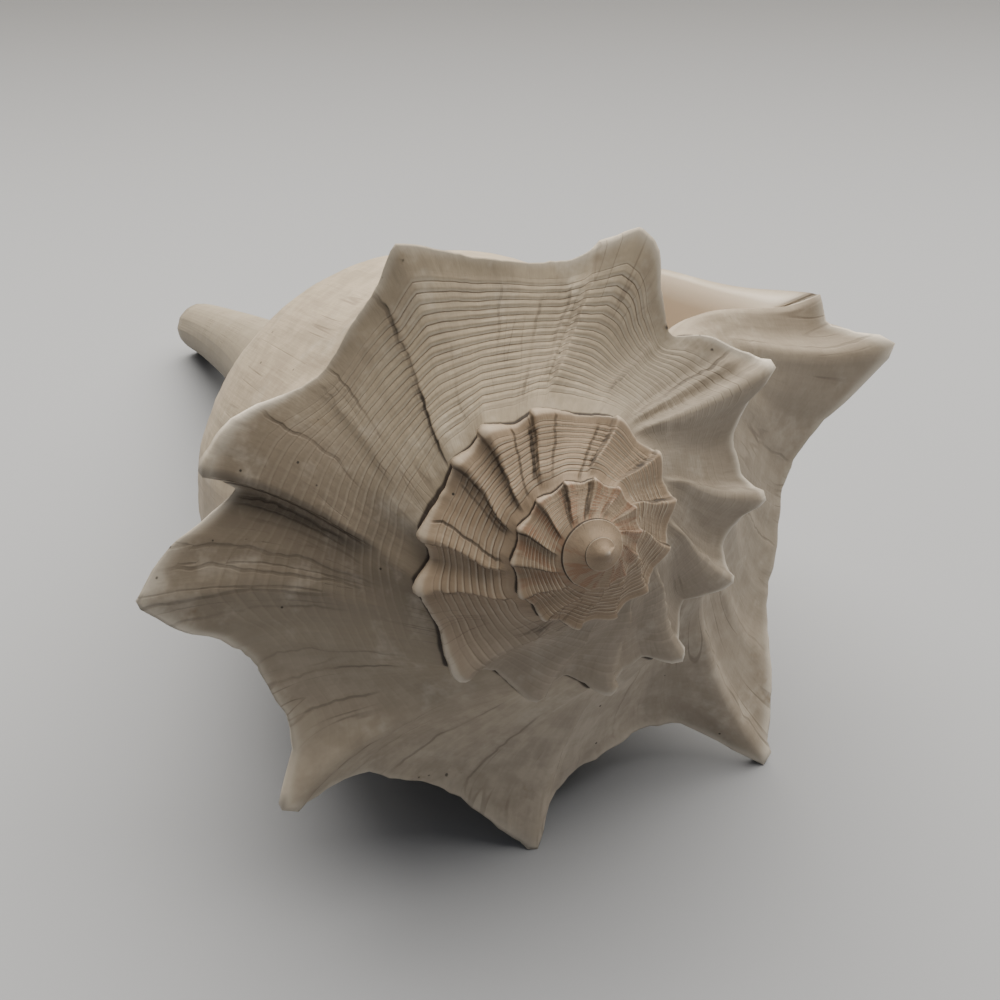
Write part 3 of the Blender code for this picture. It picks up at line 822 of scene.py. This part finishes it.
# Painted highlight on the cords' crests, and painted shadow in their grooves, partly the grooves' own
# brownish tint.
CORD_CREST_HIGHLIGHT = (0.60, 0.52, 0.41, 1.0)
CORD_GROOVE_SHADOW = (0.12, 0.075, 0.045, 1.0)
# Soft painted shade beside each crack, and the dark line itself: cracks, and painted shadow under the old
# edges' steps.
CRACK_EDGE_SHADE = (0.12, 0.08, 0.05, 1.0)
CRACK_AND_SHADOW_LINE = (0.02, 0.014, 0.010, 1.0)
HAIR_LINE = (0.09, 0.06, 0.04, 1.0)
# Painted shadow in the seams between whorls.
SEAM_SHADOW = (0.03, 0.02, 0.014, 1.0)
STAIN = (0.17, 0.11, 0.05, 1.0)
APEX = (0.75, 0.72, 0.66, 1.0)
PIT = (0.03, 0.025, 0.02, 1.0)
# Painted shade in crevices, where ambient occlusion finds the surface hidden.
CREVICE_SHADE = (0.05, 0.033, 0.022, 1.0)
# Worn pale keel rim, partly a painted highlight on its sharp edge.
WORN_LIT_KEEL = (0.62, 0.56, 0.47, 1.0)
CREAM = (0.60, 0.51, 0.41, 1.0)
PALE_CREAM = (0.64, 0.57, 0.48, 1.0)
NO_LINES = (0.5, 0.5, 0.5, 1.0)

# Painted shade and light along the shell, partly its own dull and bleached tone: turn and colour.
TONE_AND_PAINTED_SHADE = [
    (-720, (0.74, 0.75, 0.80)), (-520, (0.80, 0.82, 0.88)), (-360, (0.70, 0.71, 0.73)),
    (-335, (0.72, 0.73, 0.72)), (-317, (0.86, 0.86, 0.83)), (-255, (0.86, 0.86, 0.83)),
    (-235, (0.64, 0.64, 0.63)), (-222, (0.48, 0.47, 0.46)), (-205, (0.40, 0.39, 0.38)),
    (-195, (0.52, 0.52, 0.51)), (-180, (0.68, 0.69, 0.69)), (-160, (0.82, 0.84, 0.86)),
    (-140, (1.06, 1.10, 1.16)), (-100, (1.10, 1.14, 1.22)), (-70, (0.84, 0.86, 0.90)),
    (-40, (0.74, 0.75, 0.76)), (0, (0.72, 0.72, 0.72)),
]

# Small dark pits and larger stains: turn, q, radius in millimetres, and strength.
PITS = [
    (-211.3, -0.147, 0.35, 0.9), (-216.2, -0.559, 0.40, 0.9), (-213.8, -0.588, 0.40, 0.9),
    (-180.0, -0.441, 0.45, 0.9), (-513.8, -0.235, 0.70, 0.9), (-98.7, -0.539, 0.60, 0.9),
    (-317.0, -0.725, 0.30, 0.8), (-330.0, -0.300, 0.30, 0.9), (-330.4, -0.340, 0.25, 0.9),
    (-329.6, -0.260, 0.25, 0.8), (-231.2, -0.216, 0.40, 0.8), (-265.0, -0.060, 0.70, 0.9),
    (-260.0, 0.000, 0.50, 0.8), (-331.3, 0.000, 0.80, 0.9), (-343.7, -0.059, 0.60, 0.8),
    (-339.0, 0.000, 0.70, 0.9), (-131.3, -0.030, 0.60, 0.8), (-129.5, -0.060, 0.40, 0.8),
    (-126.0, -0.100, 0.70, 0.8), (-123.8, -0.150, 0.50, 0.8), (-119.5, -0.220, 0.50, 0.8),
    (-117.5, -0.255, 0.60, 0.8), (-203.0, 0.000, 0.60, 0.8), (-198.7, -0.020, 0.50, 0.8),
    (-152.5, -0.137, 0.50, 0.7), (-170.0, -0.300, 0.30, 0.8), (-188.0, -0.520, 0.25, 0.8),
]
STAINS = [
    (-231.2, -0.216, 4.5, 0.6), (-265.0, -0.060, 2.6, 0.7), (-192.5, -0.088, 3.5, 0.5),
    (-110.0, -0.200, 5.0, 0.6), (-123.8, -0.150, 5.0, 0.4), (-131.3, -0.030, 3.0, 0.5),
    (-317.0, -0.150, 8.0, 0.35), (-331.3, -0.010, 3.0, 0.6), (-341.0, -0.040, 4.0, 0.5),
    (-151.3, -0.010, 3.0, 0.6), (-216.2, -0.010, 4.0, 0.6), (-515.0, -0.100, 3.0, 0.4),
    (-58.8, -0.108, 3.5, 0.5), (-60.5, -0.050, 4.0, 0.8), (-62.5, -0.010, 4.0, 0.8),
]
TIP = [(FIRST_TURN, 0.0, 1.6, 1.0)]  # the shell's pale tip, at the apex itself


def read_inputs(n):
    """Each point's place, turn, q and masks, and the noises that several parts of the material share."""
    n.where = n.add("ShaderNodeTexCoord").outputs["Object"]
    split = n.add("ShaderNodeSeparateXYZ")
    n.feed(split.inputs[0], n.add("ShaderNodeUVMap", uv_map="growth").outputs[0])
    n.turn, n.q = split.outputs[0], split.outputs[1]
    n.mask = {name: n.add("ShaderNodeAttribute", attribute_name=name).outputs["Fac"] for name in MASKS}
    n.patches = n.noise(n.where, 28.0, 3.0)
    n.clouds = n.noise(n.where, 9.0, 2.0)
    n.grain = n.noise(n.where, 900.0, 1.0)
    n.ragged = n.noise(n.where, 1100.0, 1.0)
    along = n.vector(n.times(n.turn, 260.0), n.times(n.q, 6.0), 0.0)
    lines = n.noise(along, 1.0, 3.0)
    n.lines = n.mix(n.band(n.q, 0.35, 0.65, 0.0, 0.8), lines, NO_LINES)


def bleached(n):
    """Chalky cream and grey, with painted shade and light along the shell and on the body, and streaked
    along the growth lines.
    """
    base = n.mix(n.band(n.clouds, 0.35, 0.65), DULL_CHALK, CHALK)
    base = n.mix(n.band(n.patches, 0.45, 0.75, 0.0, 0.6), base, PATCH)
    # Painted shade and light by turn, partly the shell's own dull and bleached tone.
    ramp = n.add("ShaderNodeValToRGB")
    first, last = TONE_AND_PAINTED_SHADE[0][0], TONE_AND_PAINTED_SHADE[-1][0]
    place = n.math("DIVIDE", n.math("SUBTRACT", n.turn, first / 360.0), (last - first) / 360.0)
    n.feed(ramp.inputs[0], place)
    stops = ramp.color_ramp.elements
    for turn, _ in TONE_AND_PAINTED_SHADE[1:-1]:
        stops.new((turn - first) / (last - first))
    for stop, (_, shade) in zip(stops, TONE_AND_PAINTED_SHADE):
        stop.color = (*shade, 1.0)
    # Painted light on the body far from the lip, and painted shade on it near the lip.
    on_body = n.mix(n.band(n.turn, -0.6, -0.3), BODY_PAINTED_LIGHT, LIP_PAINTED_SHADE)
    shade = n.mix(n.band(n.q, 0.0, 0.05), ramp.outputs[0], on_body)
    base = n.mix(1.0, base, shade, "MULTIPLY")
    base = n.mix(n.band(n.lines, 0.35, 0.65, 0.16, 0.0), base, GROWTH_STREAK)
    dirt = n.noise(n.where, 230.0, 3.0, 0.6)
    base = n.mix(n.band(dirt, 0.38, 0.62, 0.30, 0.0), base, DIRT)
    mottled = n.noise(n.where, 110.0, 4.0, 0.7)
    base = n.mix(n.band(mottled, 0.5, 0.75, 0.0, 0.35), base, BLOOM)
    return n.mix(n.band(n.q, 0.5, 0.85, 0.0, 0.7), base, CANAL)


def spire_tint(n, base):
    """Tan early whorls, with reddish growth streaks around the smooth tip."""
    early = n.band(n.turn, -1.55, -1.35, 1.0, 0.0)
    base = n.mix(n.times(early, 0.65), base, SPIRE_TAN)
    reddish = n.times(n.band(n.turn, -2.6, -2.3, 1.0, 0.0), n.band(n.turn, -3.7, -3.5))
    streaks = n.noise(n.vector(n.times(n.turn, 34.0), n.q, 0.0), 1.0, 2.0)
    reddish = n.times(reddish, n.band(streaks, 0.45, 0.6, 0.0, 0.4))
    return n.mix(reddish, base, SPIRE_RED), early


def cord_lines(n, base, early):
    """Narrow grooves between the spiral cords, drawn finer than the mesh has them: painted shadow and
    brownish tint, and painted crest highlights.
    """
    wander = n.times(n.noise(n.where, 150.0, 1.0), 0.3)
    t = n.math("FRACT", n.math("ADD", n.mask["phase"], wander))
    edge = n.math("ABSOLUTE", n.math("SUBTRACT", t, 0.5))
    n.groove = n.times(n.band(edge, 0.38, 0.50), n.mask["corded"])
    # Painted highlight along each cord's crest.
    crest = n.times(n.band(t, 0.04, 0.14), n.band(t, 0.20, 0.45, 0.65, 0.0))
    crest = n.times(crest, n.mask["corded"])
    base = n.mix(crest, base, CORD_CREST_HIGHLIGHT)
    # Painted shadow in the groove at each cord's foot, partly its own brownish tint.
    drawn = n.times(n.groove, n.band(early, 0.0, 1.0, 0.5, 0.95))
    return n.mix(drawn, base, CORD_GROOVE_SHADOW)


def dark_lines_and_shadows(n, base):
    """Thin dark cracks at old lip edges, with painted shadow under their steps, hair lines along the
    growth lines, and painted shadow along the seam.
    """
    wobble = n.times(n.math("SUBTRACT", n.noise(n.where, 300.0, 2.0), 0.5), 0.6)
    away = n.math("ABSOLUTE", n.math("ADD", n.mask["line"], wobble))
    # A soft darker band beside each crack, painted shade under the old edges' steps.
    soft = n.times(n.band(away, 0.0, 0.9, 0.3, 0.0), n.mask["crack_and_shadow"])
    base = n.mix(soft, base, CRACK_EDGE_SHADE)
    broken = n.band(n.noise(n.where, 90.0, 2.0), 0.36, 0.55, 0.3, 1.0)
    thin = n.times(n.band(away, 0.10, 0.32, 1.0, 0.0), n.mask["crack_and_shadow"])
    n.thin = n.times(thin, broken)
    base = n.mix(n.thin, base, CRACK_AND_SHADOW_LINE)
    along = n.vector(n.times(n.turn, 80.0), n.times(n.q, 1.1), 3.0)
    bent = n.noise(along, 1.0, 1.0)
    hair = n.band(n.math("ABSOLUTE", n.math("SUBTRACT", bent, 0.5)), 0.004, 0.020, 1.0, 0.0)
    n.hair = n.times(hair, n.band(n.noise(n.where, 60.0, 2.0), 0.52, 0.68, 0.0, 0.35))
    base = n.mix(n.hair, base, HAIR_LINE)
    # Painted shadow along the seams.
    return n.mix(n.band(n.mask["suture_shadow"], 0.1, 0.8, 0.0, 0.95), base, SEAM_SHADOW)


def spot_field(n, spots, centres, soft):
    """How strongly the nearest spot marks a point: hard-edged pits, or soft stains."""
    found = 0.0
    for (*_, radius, strength), centre in zip(spots, centres):
        far = n.add("ShaderNodeVectorMath", operation="DISTANCE")
        n.feed(far.inputs[0], n.where)
        far.inputs[1].default_value = centre
        ragged = n.math("MULTIPLY_ADD", n.ragged, 0.0015 * radius, far.outputs["Value"])
        near = 0.0 if soft else 0.0008 * radius
        mark = n.band(ragged, near, 0.0013 * radius, strength, 0.0)
        found = n.math("MAXIMUM", mark, found)
    return found


def spot_centres(spots, apex):
    """Where the spots are in the scene."""
    turn, q = np.array([spot[:2] for spot in spots]).T
    return to_place(skin_point(turn, turn - 360.0 + SEAM_LEAD, q)) @ shell_turn().T + apex


def pits_and_stains(n, base, apex):
    stained = spot_field(n, STAINS, spot_centres(STAINS, apex), True)
    stained = n.times(stained, n.band(n.noise(n.where, 200.0, 2.0), 0.35, 0.6, 0.3, 1.0))
    base = n.mix(stained, base, STAIN)
    tip = spot_field(n, TIP, [tuple(apex)], True)
    base = n.mix(tip, base, APEX)
    n.pit = spot_field(n, PITS, spot_centres(PITS, apex), False)
    specks = n.add("ShaderNodeTexVoronoi")
    n.feed(specks.inputs["Vector"], n.where)
    specks.inputs["Scale"].default_value = 130.0
    speck = n.band(specks.outputs["Distance"], 0.020, 0.035, 0.9, 0.0)
    return n.mix(n.math("MAXIMUM", n.pit, speck), base, PIT)


def add_crevice_shade(n, base):
    """Painted shade where the surface is hidden from the open, but not on the first whorls."""
    hidden = n.add("ShaderNodeAmbientOcclusion", samples=3, only_local=True)
    hidden.inputs["Distance"].default_value = 0.003
    hollow = n.math("SUBTRACT", 1.0, hidden.outputs["AO"])
    occluded_shade = n.times(hollow, n.band(n.turn, -3.6, -3.2))
    return n.mix(n.band(occluded_shade, 0.25, 0.85, 0.0, 0.9), base, CREVICE_SHADE)


def fine_height(n):
    """Growth lines and grain, with the grooves and cracks cut into them. The inside is smooth."""
    height = n.math("ADD", n.times(n.lines, 0.6), n.times(n.grain, 0.25))
    for cut, depth in ((n.groove, 1.2), (n.thin, 2.0), (n.hair, 0.8)):
        height = n.math("SUBTRACT", height, n.times(cut, depth))
    return n.times(height, n.math("SUBTRACT", 1.0, n.mask["inside"]))


def shell_material(apex):
    material = bpy.data.materials.new("bleached_shell")
    material.use_nodes = True
    shader = material.node_tree.nodes["Principled BSDF"]
    n = Nodes(material)
    read_inputs(n)
    base, early = spire_tint(n, bleached(n))
    base = cord_lines(n, base, early)
    # Worn pale keel rim, partly a painted highlight on its sharp edge.
    worn_lit_rim = n.times(n.mask["worn_lit_rim"], n.band(n.patches, 0.35, 0.6, 0.4, 0.9))
    base = n.mix(worn_lit_rim, base, WORN_LIT_KEEL)
    base = dark_lines_and_shadows(n, base)
    base = pits_and_stains(n, add_crevice_shade(n, base), apex)
    cream = n.mix(n.band(n.patches, 0.4, 0.7), CREAM, PALE_CREAM)
    n.feed(shader.inputs["Base Color"], n.mix(n.mask["inside"], base, cream))
    n.feed(shader.inputs["Roughness"], n.band(n.mask["inside"], 0.0, 1.0, 0.62, 0.30))
    shader.inputs["Specular IOR Level"].default_value = 0.35
    bump = n.add("ShaderNodeBump")
    bump.inputs["Strength"].default_value = 0.4
    bump.inputs["Distance"].default_value = 0.0004
    n.feed(bump.inputs["Height"], fine_height(n))
    n.feed(shader.inputs["Normal"], bump.outputs[0])
    return material


def add_shell():
    data, apex = shell_mesh(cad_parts["whelk_shell"])
    data.materials.append(shell_material(apex))
    shell = bpy.data.objects.new("shell", data)
    bpy.context.scene.collection.objects.link(shell)
    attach(shell, "root")
    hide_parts("whelk_shell")
    return apex


# The stage, in metres, watts and degrees.
FLOOR_FRONT = -5.0
FLOOR_BACK = 1.0
FLOOR_SIDE = 5.0
FLOOR_CURVE = 0.6  # radius of the curve up into the backdrop
BACKDROP_TOP = 3.0
CURVE_STEPS = 12
FLOOR_TURN = -25.0
FLOOR_NEAR = (0.292, 0.302, 0.324, 1.0)
# The far colour is painted shade: the sweep darkens towards the back and up the backdrop.
FLOOR_FAR_SHADE = (0.054, 0.054, 0.054, 1.0)
FLOOR_FADE = (0.05, 0.55)  # where the floor's near colour passes into the far one
LIGHT_TINT = (1.0, 0.945, 0.85)
LIGHTS = [  # name, place, diameter and power
    ("back", (0.0, 0.75, 0.90), 1.4, 12.0),
    ("top", (0.42, 0.36, 1.15), 2.6, 73.0),
]
LIGHT_TARGET = (0.0, 0.0, 0.05)
ROOM_COLOUR = (0.80, 0.83, 0.88, 1.0)
ROOM_STRENGTH = 0.24


def add_floor():
    """A pale floor that curves up into a backdrop, with painted shade darkening it towards the back."""
    profile = [(FLOOR_FRONT, 0.0), (FLOOR_BACK, 0.0)]
    for n in range(1, CURVE_STEPS + 1):
        a = math.radians(90.0 * n / CURVE_STEPS)
        profile.append((FLOOR_BACK + FLOOR_CURVE * math.sin(a), FLOOR_CURVE * (1 - math.cos(a))))
    profile.append((FLOOR_BACK + FLOOR_CURVE, BACKDROP_TOP))
    points = [(x, y, z) for y, z in profile for x in (-FLOOR_SIDE, FLOOR_SIDE)]
    faces = [(2 * n, 2 * n + 1, 2 * n + 3, 2 * n + 2) for n in range(len(profile) - 1)]
    data = bpy.data.meshes.new("sweep")
    data.from_pydata(points, [], faces)
    data.shade_smooth()
    material = bpy.data.materials.new("pale_sweep")
    material.use_nodes = True
    shader = material.node_tree.nodes["Principled BSDF"]
    shader.inputs["Roughness"].default_value = 0.8
    n = Nodes(material)
    split = n.add("ShaderNodeSeparateXYZ")
    n.feed(split.inputs[0], n.add("ShaderNodeTexCoord").outputs["Object"])
    # Painted shade, darker towards the back.
    far = n.band(split.outputs[1], *FLOOR_FADE)
    n.feed(shader.inputs["Base Color"], n.mix(far, FLOOR_NEAR, FLOOR_FAR_SHADE))
    data.materials.append(material)
    floor = bpy.data.objects.new("sweep", data)
    floor.rotation_euler = (0, 0, math.radians(FLOOR_TURN))
    bpy.context.scene.collection.objects.link(floor)


def add_light(name, place, diameter, power):
    data = bpy.data.lights.new(name, "AREA")
    data.shape = "DISK"
    data.size = diameter
    data.energy = power
    data.color = LIGHT_TINT
    light = bpy.data.objects.new(name, data)
    light.rotation_euler = (Vector(place) - Vector(LIGHT_TARGET)).to_track_quat("Z", "Y").to_euler()
    light.location = place
    bpy.context.scene.collection.objects.link(light)


def add_lights():
    for name, place, diameter, power in LIGHTS:
        add_light(name, place, diameter, power)
    world = bpy.data.worlds.new("room")
    world.use_nodes = True
    background = world.node_tree.nodes["Background"]
    background.inputs["Color"].default_value = ROOM_COLOUR
    background.inputs["Strength"].default_value = ROOM_STRENGTH
    bpy.context.scene.world = world


def add_camera(apex):
    """The camera at the photograph's place: its turn takes the shell's own axes to the picture's."""
    x, y, z = (math.radians(a) for a in CAMERA_TURNS)
    view = Matrix.Rotation(x, 3, "X") @ Matrix.Rotation(y, 3, "Y") @ Matrix.Rotation(z, 3, "Z")
    to_world = shell_turn() @ np.array(view).T
    apex_seen = np.array([APEX_ACROSS, -APEX_DOWN, -1.0]) * CAMERA_DISTANCE
    place = apex - to_world @ apex_seen
    data = bpy.data.cameras.new("camera")
    data.lens = LENS
    data.sensor_width = SENSOR
    data.clip_start = 0.01
    camera = bpy.data.objects.new("camera", data)
    camera.matrix_world = Matrix.Translation(place) @ Matrix(to_world.tolist()).to_4x4()
    bpy.context.scene.collection.objects.link(camera)
    bpy.context.scene.camera = camera


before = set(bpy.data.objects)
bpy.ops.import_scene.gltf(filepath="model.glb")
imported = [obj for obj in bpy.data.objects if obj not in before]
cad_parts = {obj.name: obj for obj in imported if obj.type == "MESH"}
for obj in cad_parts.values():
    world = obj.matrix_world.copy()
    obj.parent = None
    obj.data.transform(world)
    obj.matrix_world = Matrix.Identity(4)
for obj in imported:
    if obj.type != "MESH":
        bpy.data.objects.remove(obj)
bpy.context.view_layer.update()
add_camera(add_shell())
add_floor()
add_lights()
